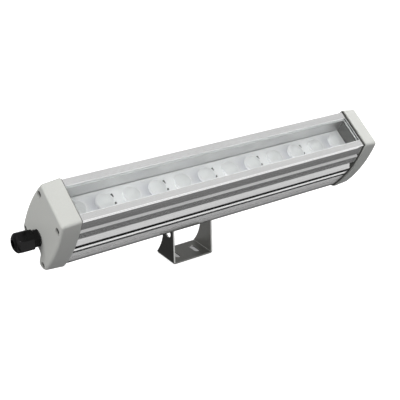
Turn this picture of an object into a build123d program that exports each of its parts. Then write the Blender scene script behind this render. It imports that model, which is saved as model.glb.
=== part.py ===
"""Outdoor wall washer light: a finned aluminium bar with twelve lenses under glass, on a tilting bracket.

All lengths are millimetres. The origin is the middle of the bracket's underside, with +Z up, +X along
the bar and -Y to the front. The lamp is drawn upright about its tilt axis: a "depth" runs from the
lens-side rims down into the body. lamp_frame then tips the lamp forward to the angle it rests at.
"""
import math
import os

from build123d import *

os.makedirs("parts", exist_ok=True)

# Stance: the tilt axis runs along X above the bracket's base, a little in front of its middle.
pivot_height = 42.0
pivot_forward = 4.0
rest_tilt = 35.0
lamp_offset = 5.6
pivot_to_roof = 28.5

# Housing extrusion: outer section.
housing_length = 300.0
flank_half = 24.5
flank_radius = 145.0
flank_crest = 37.5
foot_depth = 68.5
foot_round = 6.0
roof_depth = 57.5
roof_half = 9.5
arch_mouth_half = 13.0
arch_round = 2.0
rim_round = 0.6
rim_land = 2.5

# Grooves down each flank. A ramp groove is undercut at its top and slopes back out to its end.
ramp_lip = 0.7
ramp_1_start = 10.5
ramp_1_end = 14.7
ramp_1_cut = 1.8
ramp_2_start = 22.0
ramp_2_end = 32.3
ramp_2_cut = 3.6
slot_width = 3.2
slot_cut = 4.2
fin_thickness = 3.6
fin_round = 0.6
crease_depth = 51.0
crease_width = 1.2
crease_cut = 0.9

# Housing extrusion: inner section.
recess_half = 12.5
shelf_depth = 22.2
shelf_thickness = 2.5
chamber_half = 18.0
floor_thickness = 2.0
nut_slot_half = 4.4
nut_slot_height = 4.4
nut_mouth_half = 2.75
lip_thickness = 2.0
wall_thickness = 2.0
pocket_top = 13.8
port_radius = 1.5
upper_port_y = 17.6
upper_port_depth = 11.0
lower_port_y = 18.3
lower_port_inset = 4.6

# Front glass and its silicone bed.
glass_recess = 0.8
glass_thickness = 4.0
glass_bed = 0.5
glass_edge_bead = 0.5
glass_ledge = 1.0

# LED board and optics.
led_count = 12
led_end_margin = 10.4
led_row_shift = -1.2
board_width = 24.0
board_thickness = 1.6
board_end_gap = 0.8
pad_thickness = 0.5
emitter_size = 3.5
emitter_height = 1.8
holder_radius = 8.0
holder_height = 2.6
holder_wall = 0.5
holder_step = 0.5
flange_thickness = 1.0
optic_clearance = 0.05
dome_height = 1.5
cone_bottom_radius = 4.6
cone_lift = 0.3
led_pocket_radius = 3.2
led_pocket_depth = 2.3
board_part_reach = 8.9
board_diode_y = 4.3
board_diode_length = 3.2
board_diode_width = 1.4
board_diode_height = 1.1
board_chip_y = -3.0
board_chip_size = 1.6
board_chip_height = 0.8
terminal_gap = 0.5
terminal_length = 5.0
terminal_width = 3.6
terminal_height = 2.2

# Driver in the chamber under the shelf; its parts stand at equal stations along the board.
driver_end_gap = 4.0
driver_lead_gap = 8.6
lead_gap_index = 4
cradle_thickness = 1.0
cradle_clearance = 0.2
cradle_side_height = 9.0
post_radius = 2.5
post_height = 3.5
driver_board_width = 31.0
driver_board_thickness = 1.6
lead_radius = 0.6
lead_spacing = 1.8
lead_bend = 1.5
lead_hole_clearance = 0.3
lead_y = -9.0

# End caps.
cap_length = 16.4
cap_proud = 2.0
cap_top_proud = 2.0
cap_end_proud = 1.0
cap_end_top_proud = -1.0
cap_rim_round = 3.0
cap_end_wall = 4.8
cap_edge_round = 2.5
cap_foot_round = 9.0
cap_cavity_half = 15.0
cap_cavity_top = 25.0
cap_cavity_wall = 1.2
gasket_thickness = 1.2
gasket_proud = 0.6
cap_screw_radius = 1.45
cap_screw_hole_clearance = 0.25
cap_screw_grip = 10.0
cap_screw_head_radius = 2.75
cap_screw_head_height = 2.2
cap_counterbore_radius = 3.1
cap_counterbore_depth = 3.6

# Cable gland in the left cap.
gland_to_roof = 9.0
gland_thread_radius = 6.0
gland_hole_clearance = 0.1
gland_hex = 14.0
gland_hex_length = 5.0
gland_washer_radius = 6.9
gland_washer_thickness = 1.0
gland_spigot_length = 8.0
gland_inner_thread = 8.0
locknut_hex = 17.0
locknut_thickness = 3.0
dome_nut_hex = 16.5
dome_nut_length = 15.6
dome_nut_round = 6.5
dome_nut_gap = 0.3
claw_radius = 5.3
claw_wall = 1.0
claw_length = 7.0
claw_depth_in_spigot = 3.0
claw_slots = 8
claw_slot_width = 0.8
cable_bore_radius = 3.25
cable_pass_radius = 3.6

# Hanger under the housing.
hanger_width = 39.0
hanger_sheet = 2.0
hanger_strip = 15.0
hanger_bend = 3.0
hanger_screw_spacing = 20.0
hanger_screw_radius = 2.45
hanger_screw_head_radius = 4.25
hanger_screw_head_height = 5.0
hanger_screw_socket = 4.0
hanger_hole_clearance = 0.3
hanger_washer_radius = 5.0
hanger_washer_thickness = 1.0
square_nut_size = 8.0
square_nut_thickness = 3.6

# U bracket.
bracket_sheet = 1.5
bracket_depth = 29.0
bracket_bend = 2.0
bracket_corner = 2.5
leg_top_radius = 7.5
leg_waist_back = 9.0
leg_waist_height = 14.0
leg_waist_round = 45.0
lock_hole_drop = 14.0
lock_hole_radius = 4.0
base_slot_spacing = 22.0
base_slot_length = 14.0
base_slot_width = 5.5

# Pivot hardware.
pivot_bolt_radius = 3.0
pivot_head_hex = 10.0
pivot_head_height = 4.0
pivot_nut_height = 6.0
pivot_running_clearance = 0.05
pivot_hole_clearance = 0.1
pivot_bolt_end = 1.0
friction_washer_radius = 6.5
friction_washer_thickness = 0.95
spring_washer_radius = 5.9
spring_washer_thickness = 1.6

# Worked out from the sizes above.
rim_height = pivot_to_roof + roof_depth
half_length = housing_length / 2
floor_depth = roof_depth - lip_thickness - nut_slot_height
lower_port_depth = foot_depth - lower_port_inset
gland_depth = roof_depth - gland_to_roof
chamber_top = shelf_depth + shelf_thickness
chamber_bottom = floor_depth - floor_thickness
rebate_half = recess_half + glass_ledge + glass_edge_bead
rebate_depth = glass_recess + glass_thickness + glass_bed
glass_half = recess_half + glass_ledge
board_length = housing_length - 2 * board_end_gap
board_top = shelf_depth - pad_thickness - board_thickness
cap_inner = half_length + gasket_thickness
cap_outer = cap_inner + cap_length
hanger_half = hanger_width / 2
running_gap = pivot_running_clearance
leg_inner = hanger_half + friction_washer_thickness + running_gap
bracket_half = leg_inner + bracket_sheet
cut_margin = 1.0
led_pitch = (housing_length - 2 * led_end_margin) / (led_count - 1)
led_x = [led_row_shift + led_pitch * (i - (led_count - 1) / 2) for i in range(led_count)]
board_part_x = [led_x[i] + board_part_reach for i in range(1, led_count - 1, 2)]
cap_ports = [
    (side * y, depth)
    for side in (-1, 1)
    for y, depth in ((upper_port_y, upper_port_depth), (lower_port_y, lower_port_depth))
]
pivot_place = Pos(0, -pivot_forward, pivot_height)
hanger_frame = pivot_place * Rot(rest_tilt, 0, 0)
lamp_frame = Pos(lamp_offset, 0, 0) * hanger_frame


def flank(depth, grow=0.0):
    """Half width of the bulging flank at a depth; grow moves the whole flank outward."""
    radius = flank_radius + grow
    return flank_half - flank_radius + math.sqrt(radius**2 - (depth - flank_crest) ** 2)


def level(depth):
    """Height above the tilt axis of a depth below the rims."""
    return rim_height - depth


def box_between(x_span, y_span, depth_span):
    """Box between pairs of X, Y and depth limits."""
    low = (min(x_span), min(y_span), level(max(depth_span)))
    high = (max(x_span), max(y_span), level(min(depth_span)))
    size = [b - a for a, b in zip(low, high)]
    centre = [(a + b) / 2 for a, b in zip(low, high)]
    return Pos(*centre) * Box(*size)


def rod_x(x_span, y, depth, radius):
    """Round bar along X."""
    length = max(x_span) - min(x_span)
    return Pos(sum(x_span) / 2, y, level(depth)) * Rot(0, 90, 0) * Cylinder(radius, length)


def rod_z(x, y, depth_span, radius):
    """Round bar along the depth direction."""
    length = max(depth_span) - min(depth_span)
    return Pos(x, y, level(sum(depth_span) / 2)) * Cylinder(radius, length)


def hex_x(x_span, y, depth, across_flats):
    """Hexagonal bar along X."""
    face = Plane.YZ * RegularPolygon(across_flats / 2, 6, major_radius=False)
    length = max(x_span) - min(x_span)
    return Pos(min(x_span), y, level(depth)) * extrude(face, length, dir=(1, 0, 0))


def prism_x(points, x_span, radii=0.0):
    """Closed outline of (y, depth) points, with rounded corners, drawn out along X."""
    line = FilletPolyline(*[(y, level(depth)) for y, depth in points], radius=radii, close=True)
    face = Plane.YZ * make_face(line)
    return Pos(min(x_span), 0, 0) * extrude(face, max(x_span) - min(x_span), dir=(1, 0, 0))


def cross_recess(x, y, depth, radius, sink, direction):
    """Two crossed slots for a screwdriver, sunk along X into a head."""
    span = (x, x + direction * sink)
    bar = radius / 4
    upright = box_between(span, (y - bar, y + bar), (depth - radius, depth + radius))
    level_bar = box_between(span, (y - radius, y + radius), (depth - bar, depth + bar))
    return upright + level_bar


def keep(name, shapes, frame):
    """Place the shapes of one sub-part and write them out."""
    solids = [solid for shape in shapes for solid in (frame * shape).solids()]
    part = solids[0] if len(solids) == 1 else Compound(solids)
    export_step(part, f"parts/{name}.step")


def smooth_outline(grow=0.0, top_grow=0.0, top_round=rim_round, lobe_round=foot_round, land=0.0):
    """Section of the housing without its grooves; the grows give the larger outline of the caps."""
    top = -top_grow
    side_top = top + land
    bottom = foot_depth + grow
    roof = roof_depth + grow
    rim = flank(side_top, grow)
    foot = flank(bottom, grow)
    mouth = arch_mouth_half - grow
    roof_y = roof_half - grow / 2

    rim_points = [(0, top), (rim, top)]
    if land > 0:
        rim_points.append((rim, side_top))
    rim_line = Polyline(*[(y, level(depth)) for y, depth in rim_points])
    side = ThreePointArc(
        (rim, level(side_top)),
        (flank(flank_crest, grow), level(flank_crest)),
        (foot, level(bottom)),
    )
    under = [(foot, bottom), (mouth, bottom), (roof_y, roof), (0, roof)]
    under_line = Polyline(*[(y, level(depth)) for y, depth in under])
    half = Curve() + [rim_line, side, under_line]
    face = make_face(half.edges() + mirror(half, about=Plane.YZ).edges())

    rounds = (
        ((rim, top), top_round),
        ((foot, bottom), lobe_round),
        ((mouth, bottom), arch_round + grow),
        ((roof_y, roof), arch_round),
    )
    for (y, depth), radius in rounds:
        spots = [(side * y, level(depth)) for side in (-1, 1)]
        picked = [face.vertices().sort_by_distance((a, b, 0))[0] for a, b in spots]
        face = fillet(picked, radius)
    return face


def section_polygon(points):
    """Face through (y, depth) points, and its mirror image."""
    face = make_face(Polyline(*[(y, level(depth)) for y, depth in points], close=True))
    return [face, mirror(face, about=Plane.YZ)]


def section_box(y_span, depth_span):
    """Rectangle between Y and depth limits, and its mirror image."""
    (a, b), (c, d) = y_span, depth_span
    return section_polygon([(a, c), (b, c), (b, d), (a, d)])


def ramp_groove(start, end, cut):
    """Saw-tooth groove of the flank."""
    return section_polygon(
        [
            (flank(start) + cut_margin, start),
            (flank(start) - cut, start + ramp_lip),
            (flank(end), end),
            (flank(end) + cut_margin, end),
        ]
    )


def slot_groove(start, width, cut):
    """Square groove of the flank."""
    bottom = flank(start) - cut
    return section_box((bottom, flank(start) + cut_margin), (start, start + width))


def housing_section():
    """Section of the extrusion with its grooves, chamber, recess and screw ports."""
    first_slot = ramp_2_end + ramp_lip
    second_slot = first_slot + slot_width + fin_thickness
    pocket_half = recess_half + wall_thickness
    cuts = ramp_groove(ramp_1_start, ramp_1_end, ramp_1_cut)
    cuts += ramp_groove(ramp_2_start, ramp_2_end, ramp_2_cut)
    cuts += slot_groove(first_slot, slot_width, slot_cut)
    cuts += slot_groove(second_slot, slot_width, slot_cut)
    cuts += slot_groove(crease_depth, crease_width, crease_cut)
    cuts += section_box((0, rebate_half), (-cut_margin, rebate_depth))
    cuts += section_box((0, recess_half), (-cut_margin, shelf_depth))
    cuts += section_box((0, chamber_half), (chamber_top, chamber_bottom))
    cuts += section_box((pocket_half, chamber_half + wall_thickness), (pocket_top, shelf_depth))
    cuts += section_box((0, nut_slot_half), (floor_depth, floor_depth + nut_slot_height))
    cuts += section_box((0, nut_mouth_half), (floor_depth, roof_depth + cut_margin))
    foot_pocket = (nut_slot_half + wall_thickness, chamber_half)
    cuts += section_box(foot_pocket, (floor_depth, floor_depth + nut_slot_height))
    cuts += [Pos(y, level(depth)) * Circle(port_radius) for y, depth in cap_ports]
    section = smooth_outline(land=rim_land) - cuts
    fin_top = first_slot + slot_width
    spots = [(side * flank(fin_top), level(fin_top)) for side in (-1, 1)]
    fin_corners = [section.vertices().sort_by_distance((a, b, 0))[0] for a, b in spots]
    return fillet(fin_corners, fin_round)


# ------------------------------------------------------------------ housing, glass and its seal
lead_x = (led_x[lead_gap_index] + led_x[lead_gap_index + 1]) / 2
lead_hole_radius = lead_spacing / math.sqrt(2) + lead_radius + lead_hole_clearance
below_shelf = chamber_top + cut_margin

housing = Plane.YZ * housing_section()
housing = Pos(-half_length, 0, 0) * extrude(housing, housing_length, dir=(1, 0, 0))
housing -= rod_z(lead_x, lead_y, (shelf_depth - cut_margin, below_shelf), lead_hole_radius)
keep("housing_extrusion", [housing], lamp_frame)

glass_x = half_length - glass_edge_bead
glass_y = (-glass_half, glass_half)
glass_bottom = glass_recess + glass_thickness
glass = box_between((-glass_x, glass_x), glass_y, (glass_recess, glass_bottom))
keep("glass_cover", [glass], lamp_frame)

seal_y = (-rebate_half, rebate_half)
seal = box_between((-half_length, half_length), seal_y, (glass_recess, rebate_depth)) - glass
seal_window = half_length - glass_ledge - glass_edge_bead
seal -= box_between((-seal_window, seal_window), (-recess_half, recess_half), (0, foot_depth))
keep("glass_seal", [seal], lamp_frame)

# ------------------------------------------------------------------ LED board, emitters and optics
board_x = (-board_length / 2, board_length / 2)
board_y = (-board_width / 2, board_width / 2)

pad = box_between(board_x, board_y, (shelf_depth - pad_thickness, shelf_depth))
board = box_between(board_x, board_y, (board_top, board_top + board_thickness))
lead_hole = rod_z(lead_x, lead_y, (board_top, shelf_depth), lead_hole_radius)
keep("thermal_pad", [pad - lead_hole], lamp_frame)
keep("led_board", [board - lead_hole], lamp_frame)

emitters = []
for x in led_x:
    half = emitter_size / 2
    chip = box_between((x - half, x + half), (-half, half), (board_top - emitter_height, board_top))
    emitters.append(chip)
keep("led_emitters", emitters, lamp_frame)


def turned(points, x):
    """Solid of revolution about an upright axis at x, from (radius, height above the board) points."""
    face = Plane.XZ * make_face(Polyline(*points, close=True))
    return Pos(x, 0, level(board_top)) * revolve(face, Axis.Z)


step_height = holder_height - flange_thickness
bore_radius = holder_radius - holder_wall
lens_radius = bore_radius - optic_clearance
inner_radius = bore_radius - holder_step
holder_points = [
    (inner_radius, 0),
    (holder_radius, 0),
    (holder_radius, holder_height),
    (bore_radius, holder_height),
    (bore_radius, step_height),
    (inner_radius, step_height),
]
holders = [turned(holder_points, x) for x in led_x]
keep("lens_holders", holders, lamp_frame)


def lens(x):
    """Clear optic: a cone over the emitter, a flange on the holder's step and a domed top."""
    cone_top = inner_radius - holder_step
    body = turned(
        [
            (0, cone_lift),
            (cone_bottom_radius, cone_lift),
            (cone_top, step_height),
            (lens_radius, step_height),
            (lens_radius, holder_height),
            (0, holder_height),
        ],
        x,
    )
    sphere_radius = (lens_radius**2 + dome_height**2) / (2 * dome_height)
    centre = level(board_top) + holder_height + dome_height - sphere_radius
    above = box_between(
        (x - holder_radius, x + holder_radius),
        (-holder_radius, holder_radius),
        (board_top - holder_height - dome_height, board_top - holder_height),
    )
    dome = (Pos(x, 0, centre) * Sphere(sphere_radius)) & above
    pocket = rod_z(x, 0, (board_top - cone_lift - led_pocket_depth, board_top), led_pocket_radius)
    return body + dome - pocket


keep("lenses", [lens(x) for x in led_x], lamp_frame)


def on_led_board(x, y, size_x, size_y, height):
    """Small block standing on the LED board."""
    return box_between(
        (x - size_x / 2, x + size_x / 2),
        (y - size_y / 2, y + size_y / 2),
        (board_top - height, board_top),
    )


board_diodes = []
board_chips = []
for x in board_part_x:
    board_diodes.append(
        on_led_board(x, board_diode_y, board_diode_width, board_diode_length, board_diode_height)
    )
    board_chips.append(on_led_board(x, board_chip_y, board_chip_size, board_chip_size, board_chip_height))
keep("board_diodes", board_diodes, lamp_frame)
keep("board_chips", board_chips, lamp_frame)

terminal_x = lead_x + lead_hole_radius + terminal_gap
terminal_centre = terminal_x + terminal_length / 2
terminal = on_led_board(terminal_centre, lead_y, terminal_length, terminal_width, terminal_height)
keep("board_terminal", [terminal], lamp_frame)

# ------------------------------------------------------------------ driver in the chamber
driver_start = -half_length + driver_end_gap
driver_end = lead_x - driver_lead_gap
station_names = ("input", "fuse", "choke", "input can", "transformer", "output can", "output")
station = (driver_end - driver_start) / len(station_names)
station_x = {name: driver_start + (i + 0.5) * station for i, name in enumerate(station_names)}
driver_x = (driver_start, driver_end)
cradle_half = chamber_half - cradle_clearance
cradle_bottom = chamber_bottom
cradle_floor = cradle_bottom - cradle_thickness
cradle_inner = cradle_half - cradle_thickness
driver_board_bottom = cradle_floor - post_height
driver_board_top = driver_board_bottom - driver_board_thickness

cradle_top = cradle_floor - cradle_side_height
cradle = box_between(driver_x, (-cradle_half, cradle_half), (cradle_top, cradle_bottom))
cradle -= box_between(driver_x, (-cradle_inner, cradle_inner), (cradle_top, cradle_floor))
post_y = driver_board_width / 2 - post_radius
post_spots = [
    (driver_start + post_radius, post_y),
    (driver_start + post_radius, -post_y),
    (driver_end - post_radius, post_y),
    (driver_end - post_radius, -post_y),
]
for x, y in post_spots:
    cradle += rod_z(x, y, (driver_board_bottom, cradle_floor), post_radius)
keep("driver_cradle", [cradle], lamp_frame)

half_board = driver_board_width / 2
driver_board = box_between(driver_x, (-half_board, half_board), (driver_board_top, driver_board_bottom))
keep("driver_board", [driver_board], lamp_frame)


def on_board(place, y, size_x, size_y, height):
    """Block standing on the driver board at a station."""
    centre = station_x[place]
    return box_between(
        (centre - size_x / 2, centre + size_x / 2),
        (y - size_y / 2, y + size_y / 2),
        (driver_board_top - height, driver_board_top),
    )


def can_on_board(place, y, radius, height):
    """Upright can standing on the driver board at a station."""
    return rod_z(station_x[place], y, (driver_board_top - height, driver_board_top), radius)


tall_part = 15.0
low_part = 9.0
transformer_length = 16.0
transformer_width = 20.0
core_thickness = 6.0
can_radius = 5.0
can_y = 6.2
choke_radius = 6.0
choke_bore = 2.5
block_length = 10.0
input_block_width = 16.0
output_block_width = 9.0
fuse_radius = 2.6

input_block = on_board("input", 0, block_length, input_block_width, low_part)
output_block = on_board("output", lead_y, block_length, output_block_width, low_part)
keep("input_terminal", [input_block], lamp_frame)
keep("output_terminal", [output_block], lamp_frame)
keep("fuse", [can_on_board("fuse", can_y, fuse_radius, low_part)], lamp_frame)
choke_hole = can_on_board("choke", 0, choke_bore, low_part)
keep("filter_choke", [can_on_board("choke", 0, choke_radius, low_part) - choke_hole], lamp_frame)

winding_width = transformer_width - core_thickness
core = on_board("transformer", 0, core_thickness, transformer_width, tall_part)
windings = on_board("transformer", 0, transformer_length, winding_width, tall_part) - core
keep("transformer_core", [core], lamp_frame)
keep("transformer_windings", [windings], lamp_frame)

can_spots = [("input can", can_y), ("input can", -can_y), ("output can", can_y)]
cans = [can_on_board(place, y, can_radius, tall_part) for place, y in can_spots]
keep("driver_capacitors", cans, lamp_frame)


def lead(x, y):
    """One lead from the driver's output block, up through the shelf and along into the terminal."""
    block_end = station_x["output"] + block_length / 2
    low = driver_board_top - low_part / 2
    high = board_top - terminal_height / 2
    route = [
        (block_end, y, level(low)),
        (x, y, level(low)),
        (x, y, level(high)),
        (terminal_x, y, level(high)),
    ]
    path = FilletPolyline(*route, radius=lead_bend)
    start = Plane(origin=route[0], z_dir=(1, 0, 0))
    return sweep(start * Circle(lead_radius), path=path)


half_space = lead_spacing / 2
leads = [lead(lead_x + side * half_space, lead_y - side * half_space) for side in (-1, 1)]
keep("output_leads", leads, lamp_frame)


# ------------------------------------------------------------------ end caps, gaskets and cap screws
def end_cap(side, gland_hole):
    """Cast cap: the housing's outline grown, narrowing to its end face, hollow behind the end wall."""
    span = (side * cap_inner, side * cap_outer)
    rounds = (cap_rim_round, cap_foot_round)
    at_housing = Plane.YZ * smooth_outline(cap_proud, cap_top_proud, *rounds)
    at_end = Plane.YZ * smooth_outline(cap_end_proud, cap_end_top_proud, *rounds)
    cap = loft([Pos(side * cap_inner, 0, 0) * at_housing, Pos(side * cap_outer, 0, 0) * at_end], ruled=True)
    end_edges = cap.faces().sort_by(Axis.X)[-1 if side > 0 else 0].edges()
    cap = fillet(end_edges, cap_edge_round)
    cavity_x = (side * (cap_inner - cut_margin), side * (cap_outer - cap_end_wall))
    cavity_bottom = roof_depth + cap_end_proud - cap_cavity_wall
    cap -= box_between(cavity_x, (-cap_cavity_half, cap_cavity_half), (cap_cavity_top, cavity_bottom))
    seat_x = side * (cap_outer - cap_counterbore_depth)
    for y, depth in cap_ports:
        cap -= rod_x(span, y, depth, cap_screw_radius + cap_screw_hole_clearance)
        cap -= rod_x((seat_x, side * (cap_outer + cut_margin)), y, depth, cap_counterbore_radius)
    if gland_hole:
        cap -= rod_x(span, 0, gland_depth, gland_thread_radius + gland_hole_clearance)
    return cap


def cap_gasket(side):
    """Flat gasket between the housing's end and a cap, open over the chamber."""
    face = Plane.YZ * smooth_outline(gasket_proud, gasket_proud, land=rim_land)
    gasket = extrude(face, gasket_thickness, dir=(1, 0, 0))
    gasket = Pos(min(side * half_length, side * cap_inner), 0, 0) * gasket
    span = (side * (half_length - cut_margin), side * (cap_inner + cut_margin))
    gasket -= box_between(span, (-cap_cavity_half, cap_cavity_half), (cap_cavity_top, chamber_bottom))
    for y, depth in cap_ports:
        gasket -= rod_x(span, y, depth, cap_screw_radius + cap_screw_hole_clearance)
    return gasket


def cap_screw(side, y, depth):
    """Pan-head screw from the cap's counterbore into a port of the housing."""
    seat = cap_outer - cap_counterbore_depth
    head_end = seat + cap_screw_head_height
    tip = half_length - cap_screw_grip
    screw = rod_x((side * tip, side * seat), y, depth, cap_screw_radius)
    screw += rod_x((side * seat, side * head_end), y, depth, cap_screw_head_radius)
    recess_radius = 0.6 * cap_screw_head_radius
    sink = cap_screw_head_height / 2
    return screw - cross_recess(side * head_end, y, depth, recess_radius, sink, -side)


for side, word in ((-1, "left"), (1, "right")):
    keep(f"{word}_end_cap", [end_cap(side, side < 0)], lamp_frame)
    keep(f"{word}_cap_gasket", [cap_gasket(side)], lamp_frame)
    keep(f"{word}_cap_screws", [cap_screw(side, y, depth) for y, depth in cap_ports], lamp_frame)

# ------------------------------------------------------------------ cable gland
wall_outer = -cap_outer
wall_inner = -(cap_outer - cap_end_wall)
washer_end = wall_outer - gland_washer_thickness
hex_end = washer_end - gland_hex_length
spigot_end = hex_end - gland_spigot_length
thread_end = wall_outer + gland_inner_thread
claw_start = spigot_end + claw_depth_in_spigot
claw_end = claw_start - claw_length
claw_inner = claw_radius - claw_wall
nut_start = hex_end - dome_nut_gap
nut_end = nut_start - dome_nut_length
fit = optic_clearance


def gland_rod(x_span, radius):
    """Round bar on the gland's axis."""
    return rod_x(x_span, 0, gland_depth, radius)


washer = gland_rod((wall_outer, washer_end), gland_washer_radius)
washer -= gland_rod((wall_outer, washer_end), gland_thread_radius + gland_hole_clearance)
keep("gland_washer", [washer], lamp_frame)

gland = gland_rod((thread_end, spigot_end), gland_thread_radius)
gland += hex_x((washer_end, hex_end), 0, gland_depth, gland_hex)
gland -= gland_rod((thread_end + cut_margin, spigot_end - cut_margin), cable_pass_radius)
gland -= gland_rod((claw_start + fit, spigot_end - cut_margin), claw_radius + fit)
keep("gland_body", [gland], lamp_frame)

locknut_x = (wall_inner, wall_inner + locknut_thickness)
locknut = hex_x(locknut_x, 0, gland_depth, locknut_hex)
locknut -= gland_rod(locknut_x, gland_thread_radius + gland_hole_clearance)
keep("gland_locknut", [locknut], lamp_frame)

claw = gland_rod((claw_start, claw_end), claw_radius) - gland_rod((claw_start, claw_end), claw_inner)
for i in range(claw_slots // 2):
    bar = box_between(
        (claw_start - claw_depth_in_spigot, claw_end - cut_margin),
        (-claw_slot_width / 2, claw_slot_width / 2),
        (gland_depth - 2 * claw_radius, gland_depth + 2 * claw_radius),
    )
    turn = Pos(0, 0, level(gland_depth)) * Rot(360 * i / claw_slots, 0, 0) * Pos(0, 0, -level(gland_depth))
    claw -= turn * bar
keep("gland_claw", [claw], lamp_frame)

insert = gland_rod((claw_start, claw_end), claw_inner - fit)
insert -= gland_rod((claw_start, claw_end), cable_bore_radius)
keep("gland_insert", [insert], lamp_frame)

corner_radius = dome_nut_hex / math.sqrt(3)
dome_nut = hex_x((nut_start, nut_end), 0, gland_depth, dome_nut_hex)
rounded = gland_rod((nut_start, nut_end), corner_radius)
rounded = fillet(rounded.faces().sort_by(Axis.X)[0].edges(), dome_nut_round)
dome_nut = dome_nut & rounded
dome_nut -= gland_rod((nut_start + cut_margin, spigot_end - fit), gland_thread_radius + fit)
dome_nut -= gland_rod((nut_start, claw_end - fit), claw_radius + fit)
dome_nut -= gland_rod((nut_start, nut_end - cut_margin), cable_pass_radius)
keep("gland_dome_nut", [dome_nut], lamp_frame)

# ------------------------------------------------------------------ hanger, its screws and nuts
hanger_radius = hanger_strip / 2
strip_y = (-hanger_radius, hanger_radius)
pivot_depth = rim_height
hanger_inner = hanger_half - hanger_sheet
hanger_bottom = pivot_depth + hanger_radius


def u_sheet(half_width, sheet, bend, ends, y_span):
    """Sheet bent into a U across X; ends are the depths of its web face and of its two tips."""
    web, tip = ends
    inward = math.copysign(sheet, tip - web)
    outer = [(-half_width, tip), (-half_width, web), (half_width, web), (half_width, tip)]
    inner_half = half_width - sheet
    inner = [(inner_half, tip), (inner_half, web + inward), (-inner_half, web + inward), (-inner_half, tip)]
    line = FilletPolyline(
        *[(x, level(depth)) for x, depth in outer + inner],
        radius=[0, bend, bend, 0, 0, bend - sheet, bend - sheet, 0],
        close=True,
    )
    face = Plane.XZ * make_face(line)
    return Pos(0, max(y_span), 0) * extrude(face, max(y_span) - min(y_span), dir=(0, -1, 0))


hanger = u_sheet(hanger_half, hanger_sheet, hanger_bend, (roof_depth, hanger_bottom), strip_y)
hanger_outline = box_between((-hanger_half, hanger_half), strip_y, (roof_depth, pivot_depth))
hanger_outline += rod_x((-hanger_half, hanger_half), 0, pivot_depth, hanger_radius)
hanger = hanger & hanger_outline
hanger -= rod_x((-hanger_half, hanger_half), 0, pivot_depth, pivot_bolt_radius + pivot_running_clearance)
hanger_screw_x = (-hanger_screw_spacing / 2, hanger_screw_spacing / 2)
web_under = roof_depth + hanger_sheet
head_top = web_under + hanger_washer_thickness
head_bottom = head_top + hanger_screw_head_height
nut_depths = (floor_depth + nut_slot_height - square_nut_thickness, floor_depth + nut_slot_height)
screw_tip = floor_depth + hanger_hole_clearance
web_hole = hanger_screw_radius + hanger_hole_clearance
hanger_nuts = []
hanger_washers = []
hanger_screws = []
for x in hanger_screw_x:
    hanger -= rod_z(x, 0, (roof_depth - cut_margin, web_under + cut_margin), web_hole)
    half = square_nut_size / 2
    bore = rod_z(x, 0, nut_depths, hanger_screw_radius + fit)
    hanger_nuts.append(box_between((x - half, x + half), (-half, half), nut_depths) - bore)
    washer_bore = rod_z(x, 0, (web_under, head_top), web_hole)
    hanger_washers.append(rod_z(x, 0, (web_under, head_top), hanger_washer_radius) - washer_bore)
    screw = rod_z(x, 0, (screw_tip, head_top), hanger_screw_radius)
    screw += rod_z(x, 0, (head_top, head_bottom), hanger_screw_head_radius)
    socket_face = RegularPolygon(hanger_screw_socket / 2, 6, major_radius=False)
    socket = extrude(socket_face, hanger_screw_head_height / 2)
    hanger_screws.append(screw - Pos(x, 0, level(head_bottom)) * socket)
keep("hanger", [hanger], hanger_frame)
keep("hanger_nuts", hanger_nuts, hanger_frame)
keep("hanger_washers", hanger_washers, hanger_frame)
keep("hanger_screws", hanger_screws, hanger_frame)

# ------------------------------------------------------------------ U bracket and pivot hardware
base_back = bracket_depth / 2 + pivot_forward
base_front = bracket_depth / 2 - pivot_forward
base_depth = pivot_depth + pivot_height
leg_top = pivot_depth - leg_top_radius
bracket_y = (-base_front, base_back)
bracket = u_sheet(bracket_half, bracket_sheet, bracket_bend, (base_depth, leg_top), bracket_y)
leg_points = [
    (-base_front, base_depth),
    (base_back, base_depth),
    (base_back, base_depth - bracket_bend),
    (leg_waist_back, base_depth - leg_waist_height),
    (leg_top_radius, pivot_depth),
    (leg_top_radius, leg_top),
    (-leg_top_radius, leg_top),
    (-leg_top_radius, pivot_depth),
    (-base_front, base_depth - bracket_bend),
]
top_round = leg_top_radius - pivot_running_clearance
back_radii = [bracket_corner, leg_waist_round, bracket_corner, top_round]
leg_radii = [0, 0] + back_radii + [top_round, bracket_corner, bracket_corner]
bracket = bracket & prism_x(leg_points, (-bracket_half, bracket_half), leg_radii)
bolt_hole = pivot_bolt_radius + pivot_hole_clearance
bracket -= rod_x((-bracket_half, bracket_half), 0, pivot_depth, bolt_hole)
bracket -= rod_x((-bracket_half, -hanger_half), 0, pivot_depth + lock_hole_drop, lock_hole_radius)
for side in (-1, 1):
    slot = SlotOverall(base_slot_length, base_slot_width, rotation=90)
    cutter = extrude(slot, 2 * bracket_sheet, both=True)
    bracket -= Pos(side * base_slot_spacing / 2, pivot_forward, level(base_depth)) * cutter
keep("u_bracket", [bracket], pivot_place)

head_seat = bracket_half + spring_washer_thickness
nut_seat = hanger_inner - running_gap
nut_inner = nut_seat - pivot_nut_height
bolts = []
nuts = []
friction_washers = []
spring_washers = []


def ring_x(x_span, outer, inner):
    """Washer on the tilt axis."""
    return rod_x(x_span, 0, pivot_depth, outer) - rod_x(x_span, 0, pivot_depth, inner)


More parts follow.
